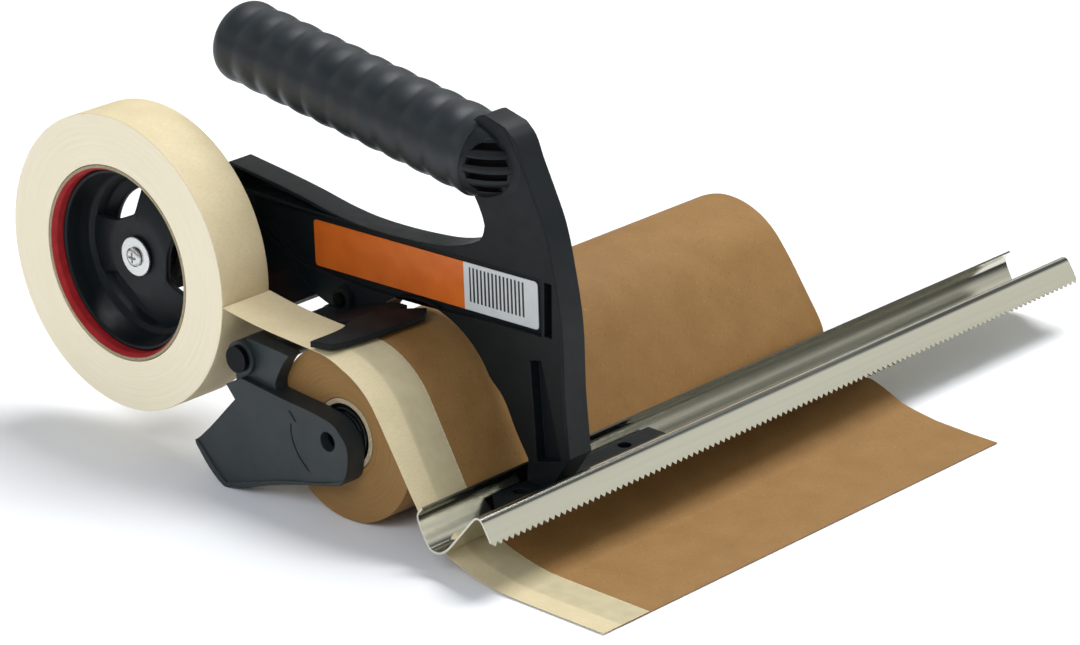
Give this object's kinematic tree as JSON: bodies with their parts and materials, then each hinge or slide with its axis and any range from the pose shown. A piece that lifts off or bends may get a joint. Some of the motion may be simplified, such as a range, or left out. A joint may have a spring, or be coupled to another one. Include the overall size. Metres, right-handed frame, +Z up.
{
  "type": "masking paper dispenser",
  "caption": "Hand-held dispenser: a roll of tape and a roll of paper on one moulded frame with a grip, and a toothed blade that tears the taped paper off.",
  "frame": {"origin": "centre of the whole object's box, on the surface it stands on", "axes": "+X the way the paper feeds, from the tape roll to the blade; +Y along both rolls, from the operator's near side to the far side; +Z up"},
  "size_m": [0.3234, 0.367, 0.1799],
  "materials": {
    "black_plastic": "dark satin moulding",
    "soft_black_plastic": "soft dark grip",
    "printed_film": "plain orange and white printed film",
    "cardboard": "plain grey-brown board",
    "printed_cardboard": "board with a plain red band inside",
    "kraft_paper": "brown kraft",
    "crepe_tape": "cream crepe",
    "felt": "grey felt",
    "zinc_steel": "zinc plated",
    "bright_steel": "bright",
    "stainless_sheet": "rolled, slightly warm"
  },
  "bodies": {
    "tool": {"frame": "black_plastic", "grip_sleeve": "soft_black_plastic", "label": "printed_film", "blade": "stainless_sheet", "blade_screw_near": "zinc_steel", "blade_screw_far": "zinc_steel", "guide": "black_plastic", "guide_screw": "zinc_steel", "paper_web": "kraft_paper", "tape_strip": "crepe_tape", "tape_axle": "zinc_steel", "tape_axle_nut": "zinc_steel", "tape_washer": "bright_steel", "tape_screw": "bright_steel", "drag_ring": "felt", "pivot_pin": "zinc_steel", "pivot_washer": "zinc_steel", "pivot_nut": "zinc_steel"},
    "tape": {"tape_hub": "black_plastic", "tape_core": "printed_cardboard", "tape_roll": "crepe_tape"},
    "arm": {"swing_arm": "black_plastic", "paper_spindle": "black_plastic", "spindle_screw": "zinc_steel"},
    "paper": {"paper_core": "cardboard", "paper_roll": "kraft_paper"}
  },
  "joints": [
    {"name": "tape_spin", "type": "hinge", "parent": "tool", "child": "tape", "pos_m": [-0.10005, -0.1658, 0.0797], "axis": [0, 1, 0], "continuous": true},
    {"name": "arm_swing", "type": "hinge", "parent": "tool", "child": "arm", "pos_m": [-0.03035, -0.15, 0.0575], "axis": [0, 1, 0], "range_deg": [0, 15]},
    {"name": "paper_spin", "type": "hinge", "parent": "arm", "child": "paper", "pos_m": [0.01815, -0.0542, 0.03595], "axis": [0, 1, 0], "continuous": true}
  ]
}
